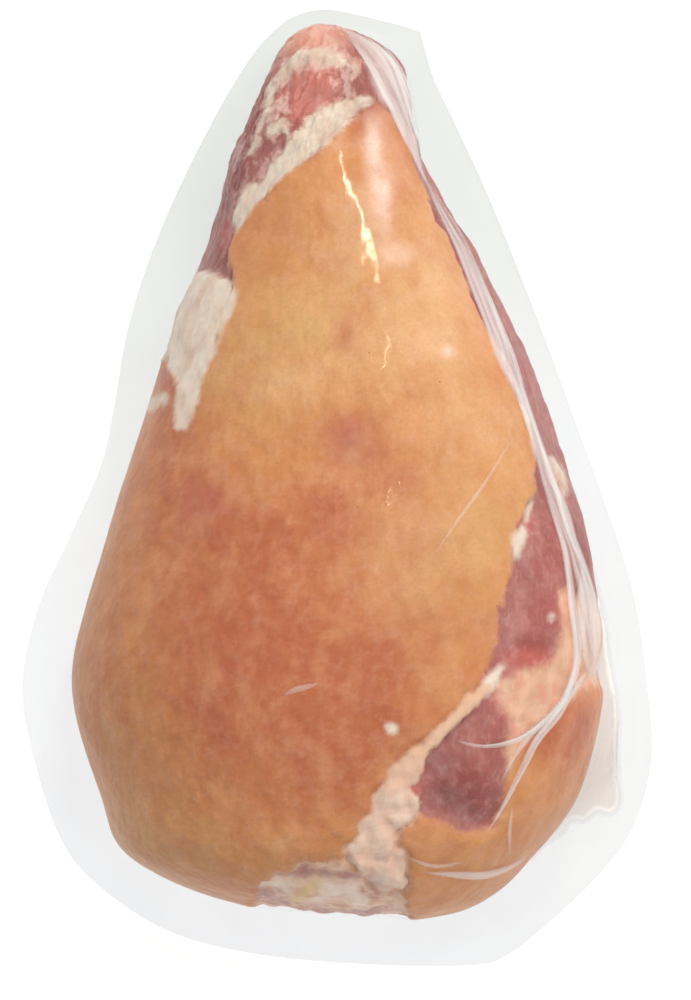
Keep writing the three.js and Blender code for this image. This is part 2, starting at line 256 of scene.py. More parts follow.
# Soft swellings and hollows: where, how far across and along, how high
SWELLS = [
    ("bone end", (-5, 111, 10, 8), 2.5),
    ("tendon lobe", (15, 100, 6, 13), 1.5),
    ("groove beside the bone end", (5, 99, 3.5, 9), -2.5),
    ("hollow under the bone end", (-2, 97, 8, 3.5), -1.5),
    ("shank muscle", (-26, 72, 5, 14), 0.8),
    ("calf muscle in the slit", (52, -22, 9, 18), 0.8),
    ("fatty lobe in the slit", (54, -52, 8, 11), 1.5),
    ("muscle head under the seam", (33, -75, 9, 9), 0.8),
    ("dip across the rind", (-5, 8, 30, 14), -1.5),
    ("ham bulge", (-25, -45, 26, 30), 1.5),
    ("dimple", (0, 33, 6, 5), -0.5),
    ("dimple", (3, 10, 9, 6), -0.6),
    ("crease by the slit", (38, -34, 8, 5), -0.5),
    ("muscle head", (47, -36, 6, 7), 0.9),
    ("lower muscle", (41, -66, 5, 9), 0.6),
]
# Where the bare muscle is redder
ROSY_PLACES = [
    (46, -7, 4, 4), (55.5, -30.5, 3, 3), (47, -42, 7, 3), (40.5, -50, 3, 4), (18.5, -73.5, 3, 2),
    (41, -83.5, 4, 2), (-29, 64, 3, 5),
]
# What shows along the upper rim of the cut face
CUT_PATCHES = {
    "cut_white": [
        [(-21, -96.4, 0.3), (-17.5, -98, 1.4), (-12.5, -99.4, 1.7)],
        [(-5, -104, 1.2), (-2, -100.5, 2.4), (3, -101.5, 2.6), (6, -104.5, 1.6)],
    ],
    "cut_yellow": [
        [(-9.6, -103.4, 1), (-7.4, -101, 1.3), (-5, -98.6, 0.8)],
    ],
    "cut_purple": [
        [(-19, -94.8, 0.5), (-10, -95, 1), (-2, -95.8, 0.9), (5, -96, 1.2)],
        [(-21, -99, 0.8), (-18, -102, 1.5), (-13, -105, 1.2)],
        [(8, -98.5, 1), (10.5, -102, 1.4)],
        [(-14, -107, 0.8), (0, -108.4, 1.2), (10, -107.6, 0.8)],
    ],
}
# The cut face of the ham end, where fat and meat show between the drawn-in edges of the rind
CUT_X, CUT_Z, CUT_HALF_WIDTH, CUT_HALF_HEIGHT = -1.5, 46, 21, 32
CUT_BEHIND_Y = -84
CUT_DEPTH = 2.2
CUT_RIM_UPWARDS, CUT_RIM_FADING = 0.6, 8  # the rim's patches fade below this share of the height


def ripple(points, size, seed, octaves=2):
    """Smooth noise over points in millimetres, about -1 to 1, with features of the given size."""
    shift = Vector((seed * 17.3, seed * 9.1, seed * 5.7))
    return np.array([noise.fractal(Vector(p) / size + shift, 0.6, 2.0, octaves) for p in points])


def beads_over(x, y, pitch, seed):
    """Round grains crowded together: 1 on the crown of a grain, 0 in the grooves."""
    draw = np.random.default_rng(seed)
    spread = [(px, py) for px in np.arange(-4, 44, pitch) for py in np.arange(-110, -40, pitch * 0.87)]
    centres = np.array(spread) + draw.uniform(-0.36, 0.36, (len(spread), 2)) * pitch
    near = np.full(x.shape, 1e9)
    second = np.full(x.shape, 1e9)
    for cx, cy in centres:
        away = np.hypot(x - cx, y - cy)
        second = np.minimum(second, np.maximum(near, away))
        near = np.minimum(near, away)
    return smooth_step(second - near, 0, pitch * 0.55)


SEGMENTS, RINGS = 360, 270
TOP_CROWDING = 0.35  # moves the faces of a ring towards its top, where the detail is
MIDDLE_CROWDING = 0.25


def round_ball(name, segments, rings):
    """A ball to be shaped, with the turn and angle of its corners, crowded where the knuckle has detail."""
    bpy.ops.object.select_all(action="DESELECT")
    bpy.ops.mesh.primitive_uv_sphere_add(segments=segments, ring_count=rings, radius=1)
    ball = bpy.context.object
    ball.name = ball.data.name = name
    corners = np.empty(len(ball.data.vertices) * 3)
    ball.data.vertices.foreach_get("co", corners)
    x, y, z = corners.reshape(-1, 3).T
    even = 1 - np.arccos(np.clip(z, -1, 1)) / math.pi
    turn = even + MIDDLE_CROWDING * np.sin(2 * math.pi * even) / (2 * math.pi)
    angle = np.arctan2(y, x)
    return ball, np.clip(turn, 0, 1), angle + TOP_CROWDING * np.cos(angle)


def face_outwards(piece):
    """Turn the faces of a closed skin outwards, and shade it smooth."""
    bpy.ops.object.select_all(action="DESELECT")
    bpy.context.view_layer.objects.active = piece
    piece.select_set(True)
    bpy.ops.object.mode_set(mode="EDIT")
    bpy.ops.mesh.select_all(action="SELECT")
    bpy.ops.mesh.normals_make_consistent(inside=False)
    bpy.ops.object.mode_set(mode="OBJECT")
    bpy.ops.object.shade_smooth()


def shape_ball(ball, places):
    """Move the corners of a ball to their places in millimetres."""
    ball.data.vertices.foreach_set("co", (places * MM).ravel())
    ball.data.update()
    face_outwards(ball)


knuckle, turn, angle = round_ball("knuckle", SEGMENTS, RINGS)
body = smooth_body(turn, angle)
outward = outward_at(turn, angle)
seen_x, seen_y = seen_from_above(turn, angle)


def patch_at(place):
    """A soft round patch of the knuckle's skin."""
    return spot(seen_x, seen_y, place)


def deepest_in(strips):
    """Millimetres inside the nearest of several strips on the knuckle's skin."""
    return np.max([depth_in_strip(s, seen_x, seen_y) for s in strips], axis=0)


wobble = 1.1 * ripple(body, 7, 1, 3) + 0.45 * ripple(body, 2.4, 40, 2)
raw_end = patch_at((-8, 96, 24, 24))  # the shank's end, where film and flesh are most ragged
rind_depth = depth_inside(RIND_OUTLINE, seen_x, seen_y) + wobble
seam_depth = depth_inside(SEAM_OUTLINE, seen_x, seen_y) + wobble
patch_depth = depth_inside(FAT_PATCH_OUTLINE, seen_x, seen_y) + wobble
lobe_depth = depth_inside(LOBE_OUTLINE, seen_x, seen_y) + wobble
strip_depth = deepest_in(FAT_STRIPS.values()) + 0.5 * wobble
dark_depth = deepest_in(DARK_STRIPS.values()) + 0.8 * wobble

turned_along = (body @ np.array([[0.8, 0.6, 0], [-0.6, 0.8, 0], [0, 0, 1]])) * [1, 0.45, 1]
cut_across = np.abs(body[:, 0] - CUT_X) / CUT_HALF_WIDTH
cut_upwards = np.abs(body[:, 2] - CUT_Z) / CUT_HALF_HEIGHT
cut_reach = (cut_across**3 + cut_upwards**3) ** (1 / 3) + 0.08 * ripple(body, 9, 2, 3)
cut = 1 - smooth_step(cut_reach, 0.86, 1.0)
cut *= 1 - smooth_step(body[:, 1], CUT_BEHIND_Y - 8, CUT_BEHIND_Y)

far_lip = patch_at((54, -74, 16, 24))
slit = patch_at((44, -30, 22, 34))
rind = smooth_step(rind_depth, -1.6 - 5 * far_lip - 1.5 * slit, 1.8 + 3 * far_lip + 0.8 * slit)
seam = smooth_step(seam_depth, -1.2, 1.2)
patch = smooth_step(patch_depth, -1.2, 1.4)
strips = smooth_step(strip_depth, -0.6, 1.4)
lobe = smooth_step(lobe_depth, -2.5, 3)
cover = np.maximum.reduce([rind * (1 - seam), 0.8 * seam, 0.9 * patch])
lumpy = smooth_step(-seen_y, 64, 76)  # the seam's fat is smooth above and bulges in lumps below
beads = beads_over(seen_x + 0.5 * wobble, seen_y, 8.5, 4)
small_beads = beads_over(seen_x, seen_y + wobble, 3.4, 5)
bare = (1 - rind) * (1 - seam) * (1 - patch)
bare_sink = RIND_THICKNESS * smooth_step(rind_depth, -13, -1.5) * (1 - cover)
bare_sink *= (1 - 0.7 * far_lip) * (1 - 0.4 * slit)
relief = (
    - bare_sink - CUT_DEPTH * cut * cover
    + seam * lumpy * (0.9 * beads + 0.2 * small_beads + 0.35 * ripple(body, 3, 41, 3) - 0.2)
    + 0.6 * seam * (1 - lumpy)
    + patch * 0.35 * ripple(body, 6, 3, 2)
    + strips * bare * 0.9
    + cut * (0.9 * ripple(body, 9, 6, 3) + 0.3 * ripple(body, 3, 7, 2))
    + bare * (0.35 * ripple(body * [1, 0.3, 1], 3.2, 8, 2) + 0.5 * ripple(body, 11, 9, 2))
    + bare * raw_end * (0.5 - 1.7 * np.abs(ripple(turned_along, 4, 42, 3)))
    + rind * (0.35 * ripple(body, 24, 10, 2) + 0.05 * ripple(body, 4, 11, 2))
    + sum(rise * patch_at(place) for _, place, rise in SWELLS)
    - UNDER_FILM
)
places = body + outward * relief[:, None]
places[:, 2] = np.maximum(places[:, 2], UNDER_FILM)
shape_ball(knuckle, places)


def keep_values(piece, name, values):
    """Keep one value a corner on a piece, for its material."""
    piece.data.attributes.new(name, "FLOAT", "POINT").data.foreach_set("value", values.astype(np.float32))


# Tones of the rind, each a soft ragged patch: flushed where blood lies under the skin, rose where it is a
# bruise, golden over fat, pale on the crown of the shank, partly as painted light where the top faces the
# lamps, and peach near the tip, which down the top of the shank is a painted highlight
RIND_TONES = {
    "flush": [
        ((-6, -50, 34, 30), 1.1), ((-28, -40, 20, 26), 0.4), ((10, -66, 18, 14), 0.3),
        ((8, 93, 8, 7), 0.8), ((53, -62, 7, 4.5), 1.1), ((-14, -10, 26, 12), 0.5),
        ((-58, -45, 10, 34), 0.35), ((22, 2, 9, 12), 0.3), ((56, -56, 9, 9), 0.9),
        ((60, -70, 9, 14), 0.4), ((-42, 26, 4, 8), 0.9), ((-15, -20, 30, 14), 0.25),
        ((-30, -94, 30, 12), 0.2), ((44, -90, 24, 14), 0.2), ((-44, 4, 12, 14), 0.45),
        ((0, 52, 4, 9), 0.25), ((-14, 66, 14, 6), 0.25), ((-40, 8, 8, 20), 0.3), ((3, 2, 10, 14), 0.5),
    ],
    "rose": [
        ((-32, -3, 8, 7), 0.75), ((3, 14, 5, 4), 0.95), ((9, 9, 6, 3), 0.4), ((2, 38, 3, 4), 0.4),
        ((-29, -42, 12, 18), 0.35), ((38, -35, 8, 4), 0.35), ((9, 97, 6, 5), 0.7), ((55, -58, 7, 4), 0.5),
        ((-38, -14, 10, 10), 0.3), ((14, 3, 5, 4), 0.3),
    ],
    "gold": [
        ((-6, 36, 24, 14), 0.6), ((36, -6, 14, 22), 0.7), ((-34, -88, 26, 10), 0.55),
        ((-22, 28, 14, 14), 0.5), ((0, 60, 18, 12), 0.45), ((16, -12, 16, 14), 0.3),
        ((24, -30, 14, 22), 0.3), ((-52, -50, 10, 30), 0.3), ((30, -78, 40, 20), 0.3),
        ((-56, -88, 20, 14), 0.4), ((10, -92, 30, 6), 0.3), ((24, -22, 10, 14), 0.3),
        ((-60, -30, 9, 26), 0.45), ((-50, -62, 14, 14), 0.3), ((2, 44, 16, 10), 0.35),
    ],
    # crown: the rind's paler tone on the top of the shank, partly painted light where the top faces the
    # lamps
    "crown": [
        ((22, 40, 14, 16), 0.55), ((4, 62, 6, 12), 0.3), ((26, 42, 8, 20), 0.25),
        ((36, 14, 12, 14), 0.35), ((-16, 24, 9, 6), 0.3), ((30, 20, 5, 5), 0.2), ((24, 60, 6, 14), 0.3),
        ((-6, 28, 10, 6), 0.3), ((12, 27, 6, 6), 0.25), ((18, -18, 12, 12), 0.2),
    ],
    # peach near the tip; the stripe down the top of the shank and the small spot on its right are a painted
    # highlight
    "peach_and_highlight": [
        ((9, 84, 2.2, 8), 0.9), ((11.5, 72, 2.8, 8), 0.9), ((14.5, 58, 4, 3), 0.7), ((8, 95, 10, 4), 0.2),
        ((-4, 86, 12, 3), 0.3), ((16, 84, 4, 9), 0.12), ((27.5, 33.5, 2, 1.6), 0.8),
        ((6, 68, 8, 12), 0.12),
    ],
}
SMUDGES = {"flush": 0.4, "rose": 0.35, "gold": 0.4, "crown": 0.3, "peach_and_highlight": 0.3}  # how uneven each tone is
for seed, (name, patches) in enumerate(RIND_TONES.items()):
    amount = sum(share * patch_at(place) for place, share in patches)
    uneven = ripple(body, 11, 20 + seed, 5) * SMUDGES[name] * (0.25 + np.minimum(amount, 1))
    keep_values(knuckle, name, np.clip(amount + uneven, 0, 1))
below_rim = np.clip(CUT_RIM_UPWARDS - np.sin(angle), 0, 2) * CUT_RIM_FADING
for name, strips_there in CUT_PATCHES.items():
    keep_values(knuckle, name, deepest_in(strips_there) - below_rim + wobble)
for name, values in {
    "rind_depth": rind_depth,
    "seam_depth": seam_depth,
    "fat_and_glint_depth": np.maximum(patch_depth, strip_depth),
    "dark_depth": dark_depth,
    "lobe": lobe,
    "cut": cut,
    "raw_end": raw_end,
    "far_lip": far_lip,
    "rosy": sum(patch_at(place) for place in ROSY_PLACES),
    "gloss": patch_at((4, 70, 12, 20)),
    "bone_end": patch_at((-6, 112, 9, 7)),
    "shank_meat": patch_at((-7, 99, 11, 9)),
    "grooves": (1 - beads) * lumpy,
    "upper_seam": 1 - lumpy,
    "marbling": np.clip(0.5 + 0.6 * ripple(body * [1, 0.6, 1], 6, 30, 4), 0, 1),
    "soft": np.clip(0.5 + 0.6 * ripple(body, 5, 31, 3), 0, 1),
}.items():
    keep_values(knuckle, name, values)


class Wire:
    """One socket of the material being made. Sums, products and the like of wires add its Math nodes."""

    tree = None

    def __init__(self, socket):
        self.socket = socket

    @classmethod
    def node(cls, kind, settings=None, inputs=None, output=0):
        """Add any node: its settings first, then the values or wires of its sockets."""
        node = cls.tree.nodes.new(kind)
        for name, value in (settings or {}).items():
            setattr(node, name, value)
        for name, value in (inputs or {}).items():
            if isinstance(value, Wire):
                cls.tree.links.new(value.socket, node.inputs[name])
            else:
                node.inputs[name].default_value = value
        return cls(node.outputs[output])

    def math(self, operation, other):
        return Wire.node("ShaderNodeMath", {"operation": operation}, {0: self, 1: other})

    def __add__(self, other):
        return self.math("ADD", other)

    def __sub__(self, other):
        return self.math("SUBTRACT", other)

    def __mul__(self, other):
        return self.math("MULTIPLY", other)

    def __rsub__(self, other):
        return Wire.node("ShaderNodeMath", {"operation": "SUBTRACT"}, {0: other, 1: self})

    __radd__ = __add__
    __rmul__ = __mul__

    def clamped(self):
        return self.math("MINIMUM", 1.0).math("MAXIMUM", 0.0)

    def between(self, low, high):
        """0 below low, 1 above high, smooth between."""
        inputs = {"Value": self, "From Min": low, "From Max": high}
        return Wire.node("ShaderNodeMapRange", {"interpolation_type": "SMOOTHSTEP"}, inputs)


def tone(red, green, blue):
    """A colour given as it looks on a screen, 0 to 255."""
    screen = (c / 255 for c in (red, green, blue))
    return *(c / 12.92 if c <= 0.04045 else ((c + 0.055) / 1.055) ** 2.4 for c in screen), 1.0


def blend(share, base, over):
    """The base colour with a share of another laid over it."""
    inputs = {0: share, 6: base, 7: over}
    return Wire.node("ShaderNodeMix", {"data_type": "RGBA"}, inputs, output=2)


def value_of(name):
    return Wire.node("ShaderNodeAttribute", {"attribute_name": name}, output="Fac")


def object_place(stretch=(1, 1, 1), turned=0.0):
    """Place on the piece in millimetres, turned about the vertical and stretched."""
    place = Wire.node("ShaderNodeTexCoord", output="Object")
    scale = tuple(s / MM for s in stretch)
    inputs = {"Vector": place, "Scale": scale, "Rotation": (0, 0, turned)}
    return Wire.node("ShaderNodeMapping", {"vector_type": "POINT"}, inputs)


def mottle(place, size, detail=3.0, roughness=0.55):
    """Noise whose features are about this many millimetres, 0 to 1."""
    inputs = {"Vector": place, "Scale": 1 / size, "Detail": detail, "Roughness": roughness}
    return Wire.node("ShaderNodeTexNoise", None, inputs, output="Fac")


def new_material(name):
    """A material and its shader. The wires that follow are added to it."""
    material = bpy.data.materials.new(name)
    material.use_nodes = True
    Wire.tree = material.node_tree
    return material, material.node_tree.nodes["Principled BSDF"]


def feed(shader, name, value):
    """Give a shader's socket a wire or a value."""
    if isinstance(value, Wire):
        Wire.tree.links.new(value.socket, shader.inputs[name])
    else:
        shader.inputs[name].default_value = value


PORE_PITCH = 6.5

meat, shader = new_material("raw_pork")
place = object_place()
ragged = mottle(place, 2.6, 3.0, 0.65) - 0.5
grain = mottle(place, 0.8, 2.0, 0.7)
soft = value_of("soft")
marbling = value_of("marbling")

# Rind: tan, with golden, flushed and bruised parts, a pale crown that is partly painted light, a peach tone
# that is partly a painted highlight, a fine mottle and pores
skin = blend(value_of("gold") + ragged * 0.2, tone(206, 136, 80), tone(207, 160, 100))
skin = blend(value_of("flush") + ragged * 0.25, skin, tone(180, 95, 56))
# partly painted light: the crown's pale tone brightens the top of the shank where light falls on it
skin = blend(value_of("crown") + ragged * 0.3, skin, tone(228, 182, 134))
# painted highlight: pale peach laid down the top of the shank as the film's reflection, besides the tip's
# own peach tone
skin = blend(value_of("peach_and_highlight") + ragged * 0.3, skin, tone(252, 218, 200))
skin = blend((value_of("rose") + ragged * 0.3) * 0.9, skin, tone(176, 90, 76))
skin = blend((marbling - 0.45) * 0.5, skin, tone(230, 168, 120))
skin = blend((0.5 - marbling) * 0.45, skin, tone(186, 104, 66))
skin = blend((soft - 0.3) * 0.2, skin, tone(228, 164, 120))
skin = blend((grain - 0.35) * 0.5, skin, tone(168, 96, 64))
pore_inputs = {"Vector": place, "Scale": 1 / PORE_PITCH}
off_pore = Wire.node("ShaderNodeTexVoronoi", None, pore_inputs, output="Distance").between(0.025, 0.05)
skin = blend((1 - off_pore) * (soft - 0.35), skin, tone(110, 60, 44))

# Muscle: mauve bundles with paler fibres and fine white membrane, darker along the dark strips
fibres = mottle(object_place((1.4, 0.25, 1), -0.35), 1.3, 3.0, 0.7)
dark = (value_of("dark_depth") + ragged * 3).between(-2.2, 1.8)
flesh = blend(marbling, tone(154, 80, 76), tone(168, 96, 88))
flesh = blend(fibres.between(0.5, 0.75) * 0.3, flesh, tone(204, 146, 140))
flesh = blend(dark * 0.72, flesh, tone(134, 60, 56))
flesh = blend((value_of("rosy") + ragged * 0.5) * 0.75, flesh, tone(196, 92, 82))
flesh = blend((value_of("shank_meat") + ragged * 1.6).between(0.2, 0.8) * 0.7, flesh, tone(206, 120, 106))
membrane = value_of("raw_end") * 0.7 + 0.07
flesh = blend((marbling + ragged * 1.5).between(0.5, 0.9) * membrane, flesh, tone(226, 192, 184))
bone_end = blend(soft, tone(222, 144, 122), tone(238, 192, 172))
flesh = blend((value_of("bone_end") + ragged * 0.5).clamped(), flesh, bone_end)

# Fat: cream to pinkish white; in the grooves between its lumps pinker, and darker as painted shade
raw = value_of("raw_end")
cream = blend(soft, tone(236, 202, 178), tone(222, 176, 152))
fat_streaks = (marbling * 0.6 + 0.2 + ragged * (0.2 + raw * 0.5)).between(0.3, 0.95)
white_of_fat_and_glints = blend(fat_streaks, tone(230, 216, 198), tone(214, 184, 162))
white_of_fat_and_glints = blend((soft + ragged).between(0.65, 1.0) * 0.3, white_of_fat_and_glints, tone(208, 156, 140))
lobe_tone = blend((soft + ragged * 0.6).clamped(), tone(230, 184, 154), tone(208, 154, 124))
lobe_tone = blend((marbling + ragged * 0.8).between(0.5, 0.9) * 0.5, lobe_tone, tone(226, 146, 128))
lobe_tone = blend((fibres + ragged * 0.5).between(0.55, 0.8) * 0.35, lobe_tone, tone(244, 208, 180))
# painted shade: the seam's fat is darker in the grooves between its lumps, where the tissue is also pinker
seam_tone = blend(value_of("grooves").between(0.3, 0.95) * 0.32, tone(230, 201, 180), tone(206, 156, 132))
seam_tone = blend((marbling + ragged).between(0.3, 0.9) * 0.45, seam_tone, tone(222, 170, 144))
seam_tone = blend(value_of("upper_seam") * 0.7, seam_tone, tone(220, 172, 138))
# this share also lays the fat's white on two specks that are painted glints
fat_and_glint_share = (value_of("fat_and_glint_depth") + ragged * (1.2 + raw * 2.2)).between(-1.2, 1.0)
seam_share = (value_of("seam_depth") + ragged * 1.6).between(-0.8, 0.8)
softening = value_of("far_lip") * 3.5
rind_edge = value_of("rind_depth") + ragged * (1.6 + raw)
rind_share = (rind_edge + softening).between(-0.6 - 1.2 * value_of("far_lip"), 1.3 + 2.2 * raw)
edge_share = rind_edge.between(-2.4, -0.8) * soft * (0.2 + raw)

surface = blend((value_of("lobe") + ragged * 0.6).between(0.0, 1.0), flesh, lobe_tone)
surface = blend(edge_share * 0.3, surface, cream)
surface = blend(rind_share, surface, skin)
surface = blend(fat_and_glint_share * (0.94 - raw * 0.04 + ragged * (0.3 + raw * 1.1)), surface, white_of_fat_and_glints)
surface = blend(seam_share, surface, seam_tone)

# Cut face: soft fat with pinkish meat, and along its upper rim a white flake, yellow fat and dark meat
cut_marbling = (marbling + ragged * 0.8).between(0.35, 0.75) * 0.7
cut_tone = blend(cut_marbling, tone(228, 188, 160), tone(194, 130, 110))
cut_tone = blend((soft + ragged * 0.6).between(0.5, 0.9) * 0.5, cut_tone, tone(222, 184, 146))
CUT_COLOURS = {"cut_purple": (172, 114, 108), "cut_white": (240, 218, 200), "cut_yellow": (222, 192, 130)}
for name, colour in CUT_COLOURS.items():
    cut_tone = blend((value_of(name) + ragged * 5).between(-1.6, 1.8) * 0.85, cut_tone, tone(*colour))
cut_share = (value_of("cut") + ragged * 1.2).between(0.2, 0.8)
surface = blend(cut_share * (1 - seam_share), surface, cut_tone)

smooth_fat = 1 - fat_and_glint_share * 0.88
rough_end = (1 - rind_share) * (fibres * 0.3 + raw * ragged * 0.25)
height = grain * 0.08 + soft * 0.6 + smooth_fat * (ragged * 0.2 + rough_end)
relief_node = Wire.node(
    "ShaderNodeBump", None, {"Height": height, "Distance": MM, "Strength": 0.7}, output="Normal"
)
feed(shader, "Base Color", surface)
feed(shader, "Roughness", 0.4 + grain * 0.12 - 0.16 * raw * (1 - rind_share))
feed(shader, "Normal", relief_node)
feed(shader, "Specular IOR Level", 0.3)
feed(shader, "Coat Weight", 0.09 + value_of("gloss") * 0.34)
feed(shader, "Coat Roughness", 0.08)
knuckle.data.materials.append(meat)

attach(knuckle, "root")
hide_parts("vacuum_pack")

# ---- The film on the meat ----
# Clear shrunk film, drawn on by the vacuum. It lies on the meat, and bridges the grooves that it can't
# follow, which a membrane that is pulled tight over the relief does as well.
FILM_SEGMENTS, FILM_RINGS = 240, 200
FILM_GAP = 0.35
OVER_TABLE = 0.05
LOOK_FROM = 6  # mm outside the plain body, from which the meat's surface is looked for
TIGHTENINGS = 60
FULL_BRIDGE = 1.2  # mm over the meat at which the bridging film is at its haziest
# Where slack film stands off the meat: place, reach across and along, and how far it stands off
SLACK_PLACES = [((20, 90, 5, 13), 2.4), ((66, -32, 5, 13), 1.8)]

film, film_turn, film_angle = round_ball("film_on_the_meat", FILM_SEGMENTS, FILM_RINGS)
film_body = smooth_body(film_turn, film_angle)
film_outward = outward_at(film_turn, film_angle)

meat_tree = BVHTree.FromObject(knuckle, bpy.context.evaluated_depsgraph_get())


def meat_lift(starts, ways):
    """How far the meat's surface lies from each start along its way, looking back in from outside."""
    lifts = np.empty(len(starts))
    for i, (start, way) in enumerate(zip(starts, ways)):
        outside = Vector(start + way * LOOK_FROM)
        hit = meat_tree.ray_cast(outside * MM, Vector(-way))
        lifts[i] = LOOK_FROM - hit[3] / MM if hit[0] else -RIND_THICKNESS
    return lifts


film_seen = seen_from_above(film_turn, film_angle)
slack = sum(rise * spot(*film_seen, place) for place, rise in SLACK_PLACES)
lift = meat_lift(film_body, film_outward) + FILM_GAP + slack
edges = np.empty(len(film.data.edges) * 2, dtype=np.int32)
film.data.edges.foreach_get("vertices", edges)
edges = edges.reshape(-1, 2)
neighbours = np.bincount(edges.ravel(), minlength=len(lift))
tight = lift.copy()
for _ in range(TIGHTENINGS):
    total = np.bincount(edges[:, 0], tight[edges[:, 1]], len(lift))
    total += np.bincount(edges[:, 1], tight[edges[:, 0]], len(lift))
    tight = np.maximum(lift, total / neighbours)
film_places = film_body + film_outward * tight[:, None]
film_places[:, 2] = np.maximum(film_places[:, 2], OVER_TABLE)
shape_ball(film, film_places)
keep_values(film, "bridged", np.clip((tight - lift) / FULL_BRIDGE, 0, 1))

clear, shader = new_material("clear_film")
place = object_place()
haze = value_of("bridged").between(0.15, 1.0)
feed(shader, "Base Color", tone(236, 232, 228))
feed(shader, "Roughness", 0.12)
feed(shader, "Alpha", 0.02 + haze * (0.03 + mottle(place, 2.5, 3.0).between(0.45, 0.8) * 0.08))
film.data.materials.append(clear)
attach(film, "root")
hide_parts("vacuum_pack")

# ---- The bag's skirt ----
# Beyond the meat the bag's two films are welded together into a soft skirt, cut with scissors. The upper
# film leaves the meat in a hollow flare, and on the right it stands up in a pleated tent.
BAG_LENGTH = 243
BAG_WIDTH = 160
SKIRT_HEIGHT = 11
SKIRT_THICKNESS = 0.5
SKIRT_CORNERS = [
    (-2, 119.6), (-10.5, 118), (-15.5, 114.5), (-21.2, 108.2), (-29, 95.8), (-38.8, 77), (-46.8, 58.2),
    (-52.5, 39.5), (-55.8, 20.8), (-59, 6), (-66, -10.5), (-74.5, -29.2), (-78.8, -48), (-77, -64),
    (-70.5, -85.5), (-61.8, -98), (-43.5, -110.5), (-20.8, -116.8), (8.2, -119.5), (34, -119.5),
    (43, -116.8), (54.5, -107.5), (64.5, -98), (74, -85.5), (79, -68), (77.8, -48), (74.4, -26),
    (67.5, -4.2), (58.5, 20.8), (49, 45.8), (39, 70.8), (30.5, 89.5), (24.5, 102), (21.3, 112.5),
    (20, 114.4), (11, 116.9),
]
SKIRT_PIECES = 720
SPINE_ENDS = (-55, 96)  # the skirt's folds point at this stretch of the knuckle's middle line
FLARE_RISE = 7
TENT = (78, -58, 30, 30)
TENT_RISE = 26
# Where the tent's film is milky, seen from above
CURTAIN_OUTLINE = [
    (60, -12), (64.3, -20), (66.6, -28), (68, -36), (69.4, -46), (71, -56), (71, -66), (71.2, -74.2),
    (71.8, -80), (69.5, -82.4), (65.8, -81.8), (62.8, -84.5), (59.5, -84), (56.5, -87.5), (52.8, -90),
    (48.2, -93.5), (43, -90), (48, -84), (52, -76), (56, -66), (58, -56), (58, -40), (58, -20),
]
UPPER_RINGS = 26
LOWER_RINGS = 10
FOLDS = 3.2  # lengthwise folds of the tent, side by side
TUCK = 1.5  # how far the film's inner edge runs on under the film on the meat
NOT_MILKY = -9  # stands for a place far outside the milky outline


def even_corners(points, count):
    """Corners at even steps along a smooth closed curve."""
    curve = closed_outline(points, 40)
    steps = np.linalg.norm(np.roll(curve, -1, axis=0) - curve, axis=1)
    way = np.concatenate([[0], np.cumsum(steps)])
    curve = np.vstack([curve, curve[:1]])
    at = np.linspace(0, way[-1], count, endpoint=False)
    return np.stack([np.interp(at, way, curve[:, i]) for i in (0, 1)], axis=-1)


rim = even_corners(SKIRT_CORNERS, SKIRT_PIECES)
rim -= (rim.max(axis=0) + rim.min(axis=0)) / 2
rim *= np.array([BAG_WIDTH, BAG_LENGTH]) / (rim.max(axis=0) - rim.min(axis=0))
round_way = np.arctan2(rim[:, 0], rim[:, 1])
spine = np.stack([0.12 * rim[:, 0], np.clip(rim[:, 1], *SPINE_ENDS)], axis=-1)
tent_share = spot(rim[:, 0], rim[:, 1], TENT)
edge_level = SKIRT_HEIGHT - 3 + 2.2 * np.sin(3 * round_way + 0.6) + 1.3 * np.sin(7 * round_way + 2)


def meat_edge(level):
    """Where the skirt meets the meat at a level of its own for each fold."""
    found = np.empty((SKIRT_PIECES, 2))
    for i, (outer, inner) in enumerate(zip(rim, spine)):
        way = Vector((*(inner - outer), 0)).normalized()
        hit = meat_tree.ray_cast(Vector((*outer, level[i])) * MM, way)
        found[i] = (np.array(hit[0][:2]) / MM) if hit[0] else inner
    return found


upper_level = SKIRT_HEIGHT + FLARE_RISE * (1 - tent_share) + TENT_RISE * tent_share
lower_level = np.full(SKIRT_PIECES, SKIRT_HEIGHT - 2.0)
upper_inner = meat_edge(upper_level)
lower_inner = meat_edge(lower_level)
scallops = tent_share * np.sin(30 * round_way + 2 * np.sin(9 * round_way))

rings, ring_share = [], []
for step in range(LOWER_RINGS + 1):
    s = 1 - step / LOWER_RINGS  # 1 at the meat, 0 at the cut edge
    inward = lower_inner - rim
    flat = rim + inward * s * (1 + TUCK / np.linalg.norm(inward, axis=1, keepdims=True))
    level = edge_level + (lower_level - edge_level) * s - SKIRT_THICKNESS / 2
    rings.append(np.column_stack([flat, level]))
    ring_share.append(np.full(SKIRT_PIECES, s))
for step in range(UPPER_RINGS + 1):
    s = step / UPPER_RINGS
    inward = upper_inner - rim
    flat = rim + inward * s * (1 + TUCK / np.linalg.norm(inward, axis=1, keepdims=True))
    steep = 5 - 2.6 * tent_share
    level = edge_level + (SKIRT_HEIGHT - 2 - edge_level) * s + (upper_level - SKIRT_HEIGHT + 2) * s**steep
    fold = np.sin(2 * math.pi * (FOLDS * s + 0.3 * np.sin(5 * round_way) + 0.2 * np.sin(13 * round_way)))
    hump = math.sin(math.pi * min(1, s * 1.1))
    rim_fold = 0.9 * np.exp(-(depth_inside(CURTAIN_OUTLINE, flat[:, 0], flat[:, 1]) ** 2))
    level += (0.8 * scallops * (1 - s) + (0.7 * fold + rim_fold) * tent_share) * hump + SKIRT_THICKNESS / 2
    rings.append(np.column_stack([flat, level]))
    ring_share.append(np.full(SKIRT_PIECES, s))
ring_count = len(rings)
skirt_corners = np.concatenate(rings)
